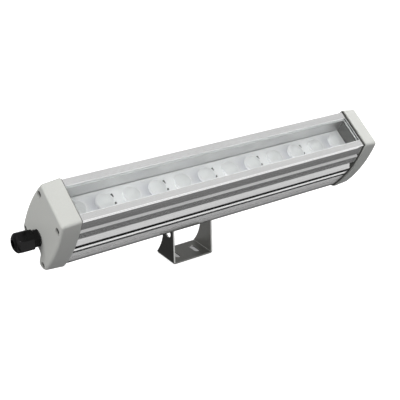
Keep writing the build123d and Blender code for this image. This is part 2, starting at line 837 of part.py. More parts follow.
for side in (-1, 1):
    shank_x = (side * (nut_inner - pivot_bolt_end), side * head_seat)
    head_x = (side * head_seat, side * (head_seat + pivot_head_height))
    bolt = rod_x(shank_x, 0, pivot_depth, pivot_bolt_radius)
    bolts.append(bolt + hex_x(head_x, 0, pivot_depth, pivot_head_hex))
    nut_x = (side * nut_seat, side * nut_inner)
    nut_bore = rod_x(nut_x, 0, pivot_depth, pivot_bolt_radius + fit)
    nuts.append(hex_x(nut_x, 0, pivot_depth, pivot_head_hex) - nut_bore)
    friction_x = (side * (hanger_half + running_gap), side * leg_inner)
    friction_washers.append(ring_x(friction_x, friction_washer_radius, bolt_hole))
    spring_x = (side * bracket_half, side * head_seat)
    spring_washers.append(ring_x(spring_x, spring_washer_radius, bolt_hole))
keep("pivot_bolts", bolts, pivot_place)
keep("pivot_nuts", nuts, pivot_place)
keep("friction_washers", friction_washers, pivot_place)
keep("spring_washers", spring_washers, pivot_place)
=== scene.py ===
import math

import bpy
from mathutils import Matrix, Vector


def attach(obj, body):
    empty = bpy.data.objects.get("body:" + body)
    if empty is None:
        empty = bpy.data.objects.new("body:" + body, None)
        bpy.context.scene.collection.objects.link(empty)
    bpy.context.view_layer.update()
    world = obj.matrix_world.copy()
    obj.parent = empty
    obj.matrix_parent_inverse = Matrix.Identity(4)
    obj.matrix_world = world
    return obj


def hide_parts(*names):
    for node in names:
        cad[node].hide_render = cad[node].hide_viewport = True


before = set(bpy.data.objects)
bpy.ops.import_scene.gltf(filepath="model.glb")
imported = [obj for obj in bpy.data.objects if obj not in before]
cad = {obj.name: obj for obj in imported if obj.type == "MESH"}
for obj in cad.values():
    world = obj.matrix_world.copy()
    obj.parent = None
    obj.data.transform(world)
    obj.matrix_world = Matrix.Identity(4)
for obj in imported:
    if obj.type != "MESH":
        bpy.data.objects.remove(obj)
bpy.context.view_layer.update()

# ---------------------------------------------------------------- camera
# The lamp is seen from its gland end, a little above, with the lenses towards the viewer.
# The place and lens come from measuring the bar's vanishing lines in the photograph.
camera_data = bpy.data.cameras.new("camera")
camera_data.sensor_width = 36.0
camera_data.lens = 80.4
camera_data.clip_start = 0.01
camera_data.clip_end = 50.0
camera = bpy.data.objects.new("camera", camera_data)
view_right = Vector((0.8164, -0.5770, 0.0225))
view_up = Vector((0.2274, 0.3571, 0.9060))
view_back = view_right.cross(view_up)
camera_place = Matrix.Translation((-0.4306, -0.6188, 0.4073))
camera.matrix_world = camera_place @ Matrix((view_right, view_up, view_back)).transposed().to_4x4()
bpy.context.scene.collection.objects.link(camera)
bpy.context.scene.camera = camera

# ---------------------------------------------------------------- studio
# A pale floor, a wide softbox above, smaller ones at the left, the front and the right, and a
# narrow strip at the left whose streak shows in glossy pieces. The floor looks white to the
# viewer but gives back less light, as a swept paper does under flags.
bpy.ops.object.select_all(action="DESELECT")
bpy.ops.mesh.primitive_plane_add(size=8.0, location=(0, 0, 0))
floor = bpy.context.object
floor.name = "floor"


def add_node(tree, kind, **values):
    """A new node with constants on its named inputs."""
    node = tree.nodes.new(kind)
    for label, value in values.items():
        node.inputs[label].default_value = value
    return node


def arithmetic(tree, operation, first, second=0.0, third=0.0):
    """One math node on sockets or numbers."""
    step = tree.nodes.new("ShaderNodeMath")
    step.operation = operation
    for i, value in enumerate((first, second, third)):
        if isinstance(value, (int, float)):
            step.inputs[i].default_value = value
        else:
            tree.links.new(value, step.inputs[i])
    return step.outputs[0]


def mix_shaders(tree, factor, first, second):
    """The first shader where the factor is 0, and the second where it is 1."""
    mix = tree.nodes.new("ShaderNodeMixShader")
    for i, source in enumerate((factor, first, second)):
        tree.links.new(source, mix.inputs[i])
    return mix.outputs[0]


paper = bpy.data.materials.new("paper")
paper.use_nodes = True
paper_tree = paper.node_tree
paper_tree.nodes.clear()
paper_out = add_node(paper_tree, "ShaderNodeOutputMaterial")
paper_rays = add_node(paper_tree, "ShaderNodeLightPath")
paper_seen = add_node(paper_tree, "ShaderNodeBsdfDiffuse", Color=(0.5, 0.5, 0.5, 1))
paper_glow = add_node(paper_tree, "ShaderNodeEmission", Color=(1, 1, 1, 1), Strength=0.82)
paper_white = add_node(paper_tree, "ShaderNodeAddShader")
paper_tree.links.new(paper_seen.outputs[0], paper_white.inputs[0])
paper_tree.links.new(paper_glow.outputs[0], paper_white.inputs[1])
paper_dim = add_node(paper_tree, "ShaderNodeBsdfDiffuse", Color=(0.20, 0.20, 0.21, 1))
paper_open = add_node(paper_tree, "ShaderNodeBsdfTransparent")

# Under the bracket's base the paper lies in shade, which shows through the slots.
shade_half_length = 0.0215
shade_half_width = 0.014
paper_shade = add_node(paper_tree, "ShaderNodeEmission", Strength=0.30)
paper_coords = add_node(paper_tree, "ShaderNodeTexCoord")
paper_place = add_node(paper_tree, "ShaderNodeSeparateXYZ")
paper_tree.links.new(paper_coords.outputs["Object"], paper_place.inputs[0])
under_base = arithmetic(
    paper_tree,
    "MULTIPLY",
    arithmetic(paper_tree, "COMPARE", paper_place.outputs["X"], 0.0, shade_half_length),
    arithmetic(paper_tree, "COMPARE", paper_place.outputs["Y"], 0.0, shade_half_width),
)
paper_lit = mix_shaders(paper_tree, under_base, paper_white.outputs[0], paper_shade.outputs[0])
paper_mix = mix_shaders(
    paper_tree, paper_rays.outputs["Is Camera Ray"], paper_dim.outputs[0], paper_lit
)
paper_gloss = mix_shaders(
    paper_tree, paper_rays.outputs["Is Glossy Ray"], paper_mix, paper_open.outputs[0]
)
paper_tree.links.new(paper_gloss, paper_out.inputs["Surface"])
floor.data.materials.append(paper)


def softbox(name, place, aim, width, depth, watts, mirrored=True):
    """One soft area light aimed at a point; polished faces show it where it is mirrored."""
    light = bpy.data.lights.new(name, "AREA")
    light.shape = "RECTANGLE"
    light.size = width
    light.size_y = depth
    light.energy = watts
    lamp = bpy.data.objects.new(name, light)
    lamp.matrix_world = Matrix.Translation(place) @ (
        Vector(aim) - Vector(place)
    ).to_track_quat("-Z", "Y").to_matrix().to_4x4()
    lamp.visible_glossy = mirrored
    lamp.visible_transmission = False
    bpy.context.scene.collection.objects.link(lamp)


softbox("softbox_top", (-0.05, -0.72, 1.33), (0, 0, 0), 1.6, 1.2, 14.0, mirrored=False)
softbox("softbox_left", (-1.5, -0.1, 0.9), (0, 0, 0.1), 1.0, 1.0, 16.0, mirrored=False)
softbox("strip_left", (-0.75, -0.62, 0.62), (-0.18, -0.04, 0.07), 0.02, 0.45, 0.8)
softbox("softbox_front", (-0.3, -1.5, 0.35), (0, 0, 0.08), 1.2, 0.8, 3.0, mirrored=False)
softbox("softbox_end", (0.55, 0.0, 0.50), (0.17, 0, 0.1), 0.35, 0.35, 2.4, mirrored=False)

# Cards round the light, seen only in its polished faces: their brightness changes with the angle
# about the bar, from straight down (0) through the front and overhead to the back (1).
cards = [
    (0.002, 0.13),
    (0.016, 0.14),
    (0.044, 0.20),
    (0.070, 0.26),
    (0.088, 0.62),
    (0.108, 0.62),
    (0.120, 1.30),
    (0.150, 1.30),
    (0.164, 0.50),
    (0.185, 0.50),
    (0.210, 1.40),
    (0.420, 1.40),
    (0.465, 0.76),
    (0.500, 0.76),
    (0.550, 1.40),
    (0.610, 0.50),
    (0.720, 0.30),
    (0.820, 0.26),
    (0.895, 0.02),
    (0.915, 0.02),
    (0.923, 0.42),
    (0.958, 0.36),
    (0.966, 0.60),
    (0.971, 1.50),
    (0.986, 1.50),
    (0.993, 0.14),
]
world = bpy.data.worlds.new("studio")
bpy.context.scene.world = world
world.use_nodes = True
sky = world.node_tree
sky_where = add_node(sky, "ShaderNodeTexCoord")
sky_axes = add_node(sky, "ShaderNodeSeparateXYZ")
sky.links.new(sky_where.outputs["Generated"], sky_axes.inputs[0])
sky_turn = arithmetic(sky, "ARCTAN2", sky_axes.outputs["Y"], sky_axes.outputs["Z"])
sky_span = add_node(sky, "ShaderNodeMapRange")
sky_span.inputs["From Min"].default_value = -math.pi
sky_span.inputs["From Max"].default_value = math.pi
sky.links.new(sky_turn, sky_span.inputs["Value"])
sky_ramp = add_node(sky, "ShaderNodeValToRGB")
sky.links.new(sky_span.outputs["Result"], sky_ramp.inputs["Fac"])
steps = sky_ramp.color_ramp.elements
for i, (turn, bright) in enumerate(cards):
    step = steps[i] if i < 2 else steps.new(turn)
    step.position = turn
    step.color = (bright, bright, bright, 1)
sky_cards = add_node(sky, "ShaderNodeBackground")
sky.links.new(sky_ramp.outputs["Color"], sky_cards.inputs["Color"])
sky_fill = sky.nodes["Background"]
sky_fill.inputs["Color"].default_value = (0.98, 0.98, 1.0, 1)
sky_fill.inputs["Strength"].default_value = 0.34
# Beyond the floor's edge the viewer sees a pale grey, a little darker than the paper.
sky_pale = add_node(sky, "ShaderNodeBackground", Color=(0.8, 0.8, 0.8, 1))
sky_rays = add_node(sky, "ShaderNodeLightPath")
sky_lit = mix_shaders(
    sky, sky_rays.outputs["Is Glossy Ray"], sky_fill.outputs[0], sky_cards.outputs[0]
)
sky_seen = mix_shaders(sky, sky_rays.outputs["Is Camera Ray"], sky_lit, sky_pale.outputs[0])
sky.links.new(sky_seen, sky.nodes["World Output"].inputs["Surface"])
bpy.context.scene.view_settings.view_transform = "Standard"

# ---------------------------------------------------------------- housing
# One aluminium extrusion, clear anodised. The die leaves fine lines along its length,
# which show as streaks in the sheen.
def effect(name, inputs, outputs):
    """An empty shader group with named sockets: its tree and its input and output nodes."""
    tree = bpy.data.node_groups.new(name, "ShaderNodeTree")
    for label, kind, value in inputs:
        socket = tree.interface.new_socket(label, in_out="INPUT", socket_type=kind)
        if value is not None:
            socket.default_value = value
    for label, kind in outputs:
        tree.interface.new_socket(label, in_out="OUTPUT", socket_type=kind)
    return tree, tree.nodes.new("NodeGroupInput"), tree.nodes.new("NodeGroupOutput")


def noise_at(tree, vector, scale, detail):
    """A noise texture read at a vector."""
    noise = tree.nodes.new("ShaderNodeTexNoise")
    noise.inputs["Scale"].default_value = scale
    noise.inputs["Detail"].default_value = detail
    tree.links.new(vector, noise.inputs["Vector"])
    return noise.outputs["Fac"]


def spread(tree, value, low, high):
    """Maps noise, which keeps near its middle, onto low to high."""
    stretch = tree.nodes.new("ShaderNodeMapRange")
    stretch.inputs["From Min"].default_value = 0.3
    stretch.inputs["From Max"].default_value = 0.7
    for label, end in (("To Min", low), ("To Max", high)):
        if isinstance(end, (int, float)):
            stretch.inputs[label].default_value = end
        else:
            tree.links.new(end, stretch.inputs[label])
    tree.links.new(value, stretch.inputs["Value"])
    return stretch.outputs["Result"]


# grain: a surface that varies in tone, roughness and height, drawn out along a direction
grain, grain_in, grain_out = effect(
    "grain",
    [
        ("Vector", "NodeSocketVector", None),
        ("Stretch", "NodeSocketVector", (1, 1, 1)),
        ("Dark", "NodeSocketColor", (0.5, 0.5, 0.5, 1)),
        ("Light", "NodeSocketColor", (0.8, 0.8, 0.8, 1)),
        ("Smoothest", "NodeSocketFloat", 0.3),
        ("Roughest", "NodeSocketFloat", 0.5),
    ],
    [("Color", "NodeSocketColor"), ("Roughness", "NodeSocketFloat"), ("Height", "NodeSocketFloat")],
)
drawn = grain.nodes.new("ShaderNodeVectorMath")
drawn.operation = "MULTIPLY"
grain.links.new(grain_in.outputs["Vector"], drawn.inputs[0])
grain.links.new(grain_in.outputs["Stretch"], drawn.inputs[1])
fine = noise_at(grain, drawn.outputs[0], 1.0, 4.0)
broad = noise_at(grain, grain_in.outputs["Vector"], 22.0, 3.0)
tone = grain.nodes.new("ShaderNodeMix")
tone.data_type = "RGBA"
both = grain.nodes.new("ShaderNodeMath")
both.operation = "MULTIPLY"
grain.links.new(spread(grain, fine, 0.45, 1.0), both.inputs[0])
grain.links.new(spread(grain, broad, 0.45, 1.0), both.inputs[1])
grain.links.new(both.outputs[0], tone.inputs["Factor"])
grain.links.new(grain_in.outputs["Dark"], tone.inputs["A"])
grain.links.new(grain_in.outputs["Light"], tone.inputs["B"])
grain.links.new(tone.outputs["Result"], grain_out.inputs["Color"])
rough_mid = spread(grain, fine, grain_in.outputs["Smoothest"], grain_in.outputs["Roughest"])
grain.links.new(rough_mid, grain_out.inputs["Roughness"])
grain.links.new(fine, grain_out.inputs["Height"])


def opaque(colour):
    """A colour with its alpha of one."""
    return (*colour, 1.0)


def grained(name, dark, light, smooth, rough, stretch, height, metal=0.0):
    """A material whose tone, roughness and relief come from the grain group.

    The stretch is the grain's fineness: one number, or three where it is drawn out along an axis.
    """
    material = bpy.data.materials.new(name)
    material.use_nodes = True
    tree = material.node_tree
    surface = tree.nodes["Principled BSDF"]
    surface.inputs["Metallic"].default_value = metal
    where = tree.nodes.new("ShaderNodeTexCoord")
    group = tree.nodes.new("ShaderNodeGroup")
    group.node_tree = grain
    group.inputs["Stretch"].default_value = stretch if isinstance(stretch, tuple) else (stretch,) * 3
    group.inputs["Dark"].default_value = opaque(dark)
    group.inputs["Light"].default_value = opaque(light)
    group.inputs["Smoothest"].default_value = smooth
    group.inputs["Roughest"].default_value = rough
    tree.links.new(where.outputs["Object"], group.inputs["Vector"])
    tree.links.new(group.outputs["Color"], surface.inputs["Base Color"])
    tree.links.new(group.outputs["Roughness"], surface.inputs["Roughness"])
    relief = tree.nodes.new("ShaderNodeBump")
    relief.inputs["Strength"].default_value = 0.35
    relief.inputs["Distance"].default_value = height
    tree.links.new(group.outputs["Height"], relief.inputs["Height"])
    tree.links.new(relief.outputs["Normal"], surface.inputs["Normal"])
    return material


def coat_with(material, *names):
    """Gives CAD nodes a material."""
    for name in names:
        cad[name].data.materials.clear()
        cad[name].data.materials.append(material)


# The lamp's own frame starts on the pivot's line, at the bar's middle. Its x runs along the bar,
# its y across it and its z up to the glass.
lamp_spot = (0.0056, -0.004, 0.042)
lamp_tilt = math.radians(35.0)


def lamp_place(tree, source):
    """Object coordinates turned into the lamp's own."""
    turn = add_node(tree, "ShaderNodeMapping", Location=lamp_spot, Rotation=(lamp_tilt, 0, 0))
    turn.vector_type = "TEXTURE"
    tree.links.new(source, turn.inputs["Vector"])
    split = tree.nodes.new("ShaderNodeSeparateXYZ")
    tree.links.new(turn.outputs["Vector"], split.inputs[0])
    return split.outputs


def first_node(material, kind):
    """The first node of one kind in a material."""
    return next(node for node in material.node_tree.nodes if node.type == kind)


def tone_where(material, cover, masks):
    """Lays other tones over a grained material, each where its mask is 1 and as far as cover."""
    tree = material.node_tree
    tone = first_node(material, "GROUP").outputs["Color"]
    for mask, colour in masks:
        mix = tree.nodes.new("ShaderNodeMix")
        mix.data_type = "RGBA"
        mix.inputs["B"].default_value = opaque(colour)
        tree.links.new(arithmetic(tree, "MULTIPLY", mask, cover), mix.inputs["Factor"])
        tree.links.new(tone, mix.inputs["A"])
        tone = mix.outputs["Result"]
    tree.links.new(tone, tree.nodes["Principled BSDF"].inputs["Base Color"])


anodised = grained(
    "anodised_aluminium",
    (0.70, 0.70, 0.70),
    (0.82, 0.82, 0.82),
    0.12,
    0.22,
    (9.0, 2600.0, 2600.0),
    0.00002,
    metal=1.0,
)
# The die leaves the recess walls duller than the outside. The bounds lie just inside the metal.
duller_half_width = 0.0128
duller_above = 0.058
extra_roughness = 0.26
anodised_tree = anodised.node_tree
anodised_spot = first_node(anodised, "TEX_COORD").outputs["Object"]
lamp_y, lamp_z = lamp_place(anodised_tree, anodised_spot)[1:]
off_middle = arithmetic(anodised_tree, "ABSOLUTE", lamp_y)
in_recess = arithmetic(
    anodised_tree,
    "MULTIPLY",
    arithmetic(anodised_tree, "LESS_THAN", off_middle, duller_half_width),
    arithmetic(anodised_tree, "GREATER_THAN", lamp_z, duller_above),
)
anodised_tree.links.new(
    arithmetic(
        anodised_tree,
        "MULTIPLY_ADD",
        in_recess,
        extra_roughness,
        first_node(anodised, "GROUP").outputs["Roughness"],
    ),
    anodised_tree.nodes["Principled BSDF"].inputs["Roughness"],
)
# The narrow slot above the fin and the bottom edge of each foot are painted nearly black,
# as painted shade where the slot and the edge lie in shade.
slot_low = 0.0496
slot_high = 0.0540
flank_half_width = 0.0245
core_half_width = 0.019
foot_edge_high = 0.0247
beside_core = arithmetic(anodised_tree, "GREATER_THAN", off_middle, core_half_width)
slot_painted_shade = arithmetic(
    anodised_tree,
    "MULTIPLY",
    arithmetic(
        anodised_tree,
        "MULTIPLY",
        arithmetic(anodised_tree, "LESS_THAN", lamp_z, slot_high),
        arithmetic(anodised_tree, "GREATER_THAN", lamp_z, slot_low),
    ),
    arithmetic(
        anodised_tree,
        "MULTIPLY",
        arithmetic(anodised_tree, "LESS_THAN", off_middle, flank_half_width),
        beside_core,
    ),
)
foot_edge_painted_shade = arithmetic(
    anodised_tree,
    "MULTIPLY",
    arithmetic(anodised_tree, "LESS_THAN", lamp_z, foot_edge_high),
    beside_core,
)
painted_shade_lines = arithmetic(anodised_tree, "MAXIMUM", slot_painted_shade, foot_edge_painted_shade)
# Painted shade in the slot above the fin and along each foot's bottom edge.
tone_where(anodised, 0.97, [(painted_shade_lines, (0.01, 0.01, 0.01))])
coat_with(anodised, "housing_extrusion")

# ---------------------------------------------------------------- end caps
# Two die-cast aluminium caps, powder coated in a light grey with a green tinge.
# The coat has a fine orange peel, and four screws hold each cap against its gasket.
cap_coat = grained(
    "grey_powder_coat",
    (0.43, 0.435, 0.41),
    (0.48, 0.485, 0.46),
    0.38,
    0.52,
    900.0,
    0.00005,
)
coat_with(cap_coat, "left_end_cap", "right_end_cap")

gasket_rubber = grained(
    "gasket_rubber", (0.035, 0.035, 0.032), (0.06, 0.06, 0.055), 0.6, 0.8, 1500.0, 0.00003
)
coat_with(gasket_rubber, "left_cap_gasket", "right_cap_gasket")

# The cap screws are coloured nearly black, and sit deep in their counterbores.
black_screw = grained(
    "near_black_cap_screw",
    (0.008, 0.008, 0.008),
    (0.02, 0.02, 0.02),
    0.3,
    0.45,
    900.0,
    0.00002,
    metal=0.6,
)
coat_with(black_screw, "left_cap_screws", "right_cap_screws")

# ---------------------------------------------------------------- front glass and seal
# A sheet of toughened clear glass, ground and bevelled at its edges, lies in the rim of the
# housing. It is bedded in grey silicone, which also runs round its edge.
glass = bpy.data.materials.new("toughened_glass")
glass.use_nodes = True
glass_tree = glass.node_tree
glass_surface = glass_tree.nodes["Principled BSDF"]
glass_surface.inputs["Base Color"].default_value = (0.97, 0.985, 0.98, 1)
glass_surface.inputs["Roughness"].default_value = 0.02
glass_surface.inputs["IOR"].default_value = 1.5
glass_surface.inputs["Specular IOR Level"].default_value = 0.08
glass_surface.inputs["Transmission Weight"].default_value = 1.0
glass_rays = glass_tree.nodes.new("ShaderNodeLightPath")
glass_clear = add_node(glass_tree, "ShaderNodeBsdfTransparent", Color=(0.96, 0.965, 0.962, 1))
glass_mix = mix_shaders(
    glass_tree,
    glass_rays.outputs["Is Shadow Ray"],
    glass_surface.outputs[0],
    glass_clear.outputs[0],
)
glass_tree.links.new(glass_mix, glass_tree.nodes["Material Output"].inputs["Surface"])
coat_with(glass, "glass_cover")

# The ground edges of the sheet scatter light, so they look white from the front.
ground_edge = grained(
    "ground_glass_edge", (0.78, 0.80, 0.80), (0.88, 0.90, 0.89), 0.45, 0.7, 1400.0, 0.00001
)


def into_place(piece, matrix):
    """Turns a finished mesh into its place and leaves the object itself at the origin."""
    piece.data.transform(matrix)
    piece.data.update()


def start_piece(name):
    """Names the newest primitive as a piece, with its own mesh named alike."""
    piece = bpy.context.object
    piece.name = name
    piece.data.name = name
    return piece


lamp_matrix = Matrix.Translation(lamp_spot) @ Matrix.Rotation(lamp_tilt, 4, "X")
sheet_length = 0.299
sheet_width = 0.027
sheet_thickness = 0.004
arris_width = 0.0003
rim_height = 0.086
sheet_inset = 0.0008
bpy.ops.object.select_all(action="DESELECT")
bpy.ops.mesh.primitive_cube_add(size=1.0)
glass_sheet = start_piece("glass_sheet")
glass_sheet.scale = (sheet_length, sheet_width, sheet_thickness)
bpy.ops.object.transform_apply(location=False, rotation=False, scale=True)
glass_sheet.data.materials.append(glass)
glass_sheet.data.materials.append(ground_edge)
for side in glass_sheet.data.polygons:
    side.material_index = 0 if abs(side.normal.z) > 0.9 else 1
arris = glass_sheet.modifiers.new("arris", "BEVEL")
arris.width = arris_width
arris.segments = 2
arris.limit_method = "ANGLE"
arris.material = 1
bpy.ops.object.modifier_apply(modifier="arris")
sheet_middle = rim_height - sheet_inset - sheet_thickness / 2
into_place(glass_sheet, lamp_matrix @ Matrix.Translation((0, 0, sheet_middle)))
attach(glass_sheet, "lamp")
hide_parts("glass_cover")

silicone = grained(
    "grey_silicone", (0.66, 0.67, 0.67), (0.78, 0.79, 0.79), 0.3, 0.5, 1200.0, 0.00003
)
coat_with(silicone, "glass_seal")

# ---------------------------------------------------------------- LED board and optics
# A white board on an aluminium core, bonded to the shelf by its pad, with an emitter and a frosted
# optic in its holder at each of the twelve stations, and small black diodes and chips between.
board_white = grained(
    "white_board", (0.84, 0.84, 0.85), (0.90, 0.90, 0.905), 0.3, 0.42, 1600.0, 0.00002
)
# The white board is painted greyer between every other pair of lenses as painted shade,
# which fades to white towards the long edges of the board.
lens_pitch = 0.02538
lens_shade_shift = 0.0044
lens_shade_half_width = 0.0115
board_tree = board_white.node_tree
board_spot = first_node(board_white, "TEX_COORD").outputs["Object"]
board_x, board_y = lamp_place(board_tree, board_spot)[:2]
board_turn = arithmetic(
    board_tree,
    "MULTIPLY_ADD",
    board_x,
    math.pi / lens_pitch,
    -math.pi * lens_shade_shift / lens_pitch,
)
board_wave = arithmetic(
    board_tree, "MULTIPLY_ADD", arithmetic(board_tree, "COSINE", board_turn), -0.5, 0.5
)
board_across = arithmetic(board_tree, "DIVIDE", board_y, lens_shade_half_width)
board_middle = arithmetic(
    board_tree,
    "MAXIMUM",
    arithmetic(board_tree, "SUBTRACT", 1.0, arithmetic(board_tree, "POWER", board_across, 2.0)),
    0.0,
)
painted_lens_shade = arithmetic(
    board_tree, "MULTIPLY", arithmetic(board_tree, "POWER", board_wave, 3.0), board_middle
)
# Painted shade between every other pair of lenses.
tone_where(board_white, 1.0, [(painted_lens_shade, (0.52, 0.52, 0.56))])
coat_with(board_white, "led_board")
pad_grey = grained("thermal_pad", (0.36, 0.38, 0.41), (0.46, 0.48, 0.51), 0.7, 0.85, 900.0, 0.00005)
coat_with(pad_grey, "thermal_pad")
emitter_phosphor = grained(
    "phosphor", (0.85, 0.72, 0.25), (0.95, 0.85, 0.36), 0.25, 0.4, 2500.0, 0.00002
)
coat_with(emitter_phosphor, "led_emitters")
holder_white = grained(
    "holder_white", (0.86, 0.86, 0.87), (0.93, 0.93, 0.935), 0.4, 0.55, 1400.0, 0.00003
)
coat_with(holder_white, "lens_holders", "board_terminal")

optic = bpy.data.materials.new("frosted_optic")
optic.use_nodes = True
optic_tree = optic.node_tree
optic_surface = optic_tree.nodes["Principled BSDF"]
optic_surface.inputs["Base Color"].default_value = (0.97, 0.975, 0.98, 1)
optic_surface.inputs["IOR"].default_value = 1.49
optic_surface.inputs["Transmission Weight"].default_value = 0.45
optic_where = optic_tree.nodes.new("ShaderNodeTexCoord")
optic_frost = noise_at(optic_tree, optic_where.outputs["Object"], 1500.0, 2.0)
optic_tree.links.new(spread(optic_tree, optic_frost, 0.28, 0.5), optic_surface.inputs["Roughness"])
coat_with(optic, "lenses")

chip_black = grained(
    "chip_black", (0.003, 0.003, 0.003), (0.008, 0.008, 0.008), 0.4, 0.5, 1200.0, 0.00002
)
coat_with(chip_black, "board_diodes", "board_chips")

# ---------------------------------------------------------------- driver
# A small driver on a green glass-fibre board, which stands in a folded cradle of black insulating
# sheet, with screw terminals at both ends and two white silicone leads to the LED board.
cradle_black = grained(
    "cradle_sheet", (0.015, 0.015, 0.016), (0.04, 0.04, 0.042), 0.4, 0.6, 900.0, 0.00004
)
coat_with(cradle_black, "driver_cradle")
board_green = grained(
    "green_board", (0.02, 0.16, 0.06), (0.04, 0.24, 0.09), 0.25, 0.4, 700.0, 0.00002
)
coat_with(board_green, "driver_board")
terminal_green = grained(
    "terminal_green", (0.07, 0.34, 0.15), (0.1, 0.42, 0.2), 0.4, 0.55, 900.0, 0.00003
)
coat_with(terminal_green, "input_terminal", "output_terminal")
fuse_brown = grained("fuse_brown", (0.25, 0.12, 0.07), (0.38, 0.2, 0.12), 0.4, 0.6, 900.0, 0.00003)
coat_with(fuse_brown, "fuse")
choke_green = grained("choke_green", (0.13, 0.32, 0.2), (0.2, 0.44, 0.3), 0.4, 0.6, 900.0, 0.00003)
coat_with(choke_green, "filter_choke")
ferrite = grained("ferrite", (0.05, 0.05, 0.055), (0.1, 0.1, 0.11), 0.5, 0.7, 900.0, 0.00005)
coat_with(ferrite, "transformer_core")
tape_yellow = grained(
    "winding_tape", (0.66, 0.5, 0.08), (0.82, 0.66, 0.14), 0.3, 0.45, (60.0, 900.0, 900.0), 0.00004
)
coat_with(tape_yellow, "transformer_windings")
sleeve_black = grained(
    "can_sleeve", (0.015, 0.02, 0.05), (0.04, 0.05, 0.1), 0.2, 0.35, 900.0, 0.00003
)
coat_with(sleeve_black, "driver_capacitors")
lead_white = grained(
    "lead_silicone", (0.72, 0.72, 0.71), (0.84, 0.84, 0.83), 0.35, 0.5, 900.0, 0.00003
)
coat_with(lead_white, "output_leads")

# ---------------------------------------------------------------- cable gland
# A moulded black nylon gland, screwed through the left cap and held by a locknut inside.
# Its dome nut closes a claw round a rubber insert, and a flat rubber washer seals the body.
nylon = grained(
    "black_nylon", (0.002, 0.002, 0.002), (0.006, 0.006, 0.006), 0.08, 0.18, 700.0, 0.00002
)
nylon.node_tree.nodes["Principled BSDF"].inputs["Specular IOR Level"].default_value = 0.15
coat_with(nylon, "gland_body", "gland_locknut", "gland_claw", "gland_dome_nut")

gland_rubber = grained(
    "gland_rubber", (0.012, 0.012, 0.012), (0.03, 0.03, 0.03), 0.5, 0.7, 1500.0, 0.00003
)
coat_with(gland_rubber, "gland_washer", "gland_insert")

# ---------------------------------------------------------------- bracket and hanger
# A U bracket bent from stainless sheet, bead blasted and dark, with a painted highlight on its cut
# edges, and a zinc plated hanger under the housing, whose cheeks it holds between nylon washers.
bracket_steel = grained(
    "dark_sheet_steel",
    (0.08, 0.08, 0.077),
    (0.13, 0.13, 0.125),
    0.32,
    0.46,
    (60.0, 60.0, 1200.0),
    0.00003,
    metal=1.0,
)
# Painted light: the inner side of the sheet, from the middle of its thickness, is painted brighter
# than the outer, most of all on the legs, and every cut edge above the base is a painted highlight.
mid_leg = 0.0212
mid_base = 0.0008
above_base = 0.0016
sheet_tree = bracket_steel.node_tree
sheet_coords = first_node(bracket_steel, "TEX_COORD")
sheet_place = add_node(sheet_tree, "ShaderNodeSeparateXYZ")
sheet_tree.links.new(sheet_coords.outputs["Object"], sheet_place.inputs[0])
sheet_facing = add_node(sheet_tree, "ShaderNodeSeparateXYZ")
sheet_tree.links.new(sheet_coords.outputs["Normal"], sheet_facing.inputs[0])
lit_inner_side = arithmetic(
    sheet_tree,
    "MULTIPLY",
    arithmetic(
        sheet_tree,
        "LESS_THAN",
        arithmetic(sheet_tree, "ABSOLUTE", sheet_place.outputs["X"]),
        mid_leg,
    ),
    arithmetic(sheet_tree, "GREATER_THAN", sheet_place.outputs["Z"], mid_base),
)
upright = arithmetic(
    sheet_tree, "GREATER_THAN", arithmetic(sheet_tree, "ABSOLUTE", sheet_facing.outputs["X"]), 0.5
)
lit_inner_leg = arithmetic(sheet_tree, "MULTIPLY", lit_inner_side, upright)
edge_on = arithmetic(
    sheet_tree, "GREATER_THAN", arithmetic(sheet_tree, "ABSOLUTE", sheet_facing.outputs["Y"]), 0.2
)
edge_highlight = arithmetic(
    sheet_tree,
    "MULTIPLY",
    arithmetic(sheet_tree, "GREATER_THAN", sheet_place.outputs["Z"], above_base),
    edge_on,
)
# Painted light on the inner side and the legs, and painted highlights on the cut edges.
tone_where(
    bracket_steel,
    0.9,
    [
        (lit_inner_side, (0.20, 0.20, 0.19)),
        (lit_inner_leg, (0.52, 0.52, 0.50)),
        (edge_highlight, (0.50, 0.50, 0.49)),
    ],
)
coat_with(bracket_steel, "u_bracket")
hanger_steel = grained(
    "zinc_sheet", (0.34, 0.34, 0.33), (0.48, 0.48, 0.47), 0.35, 0.5, 400.0, 0.00003, metal=1.0
)
coat_with(hanger_steel, "hanger")
stainless = grained(
    "stainless_steel",
    (0.50, 0.50, 0.49),
    (0.66, 0.66, 0.65),
    0.22,
    0.38,
    700.0,
    0.00002,
    metal=1.0,
)
coat_with(stainless, "hanger_nuts", "hanger_washers")
coat_with(nylon, "friction_washers")

# ---------------------------------------------------------------- pivot bolts, nuts and washers
# Two M6 hexagon bolts carry the lamp in the bracket's legs, each with a split spring washer under
# its head and a nut inside the hanger. Heads and nuts are chamfered, and the shanks threaded.
def turned_piece(name, sides, stations):
    """A solid turned about Z: a disc drawn up through (height, radius) stations."""
    bpy.ops.object.select_all(action="DESELECT")
    bpy.ops.mesh.primitive_circle_add(
        vertices=sides, radius=stations[0][1], fill_type="NGON", location=(0, 0, stations[0][0])
    )
    piece = start_piece(name)
    bpy.ops.object.transform_apply(location=True, rotation=True, scale=True)
    bpy.ops.object.mode_set(mode="EDIT")
    bpy.ops.mesh.select_all(action="SELECT")
    for (height, radius), (next_height, next_radius) in zip(stations, stations[1:]):
        rise = {"value": (0, 0, next_height - height)}
        bpy.ops.mesh.extrude_region_move(TRANSFORM_OT_translate=rise)
        swell = next_radius / radius
        bpy.ops.transform.resize(value=(swell, swell, 1), center_override=(0, 0, next_height))
    bpy.ops.mesh.select_all(action="SELECT")
    bpy.ops.mesh.normals_make_consistent(inside=False)
    bpy.ops.object.mode_set(mode="OBJECT")
    return piece


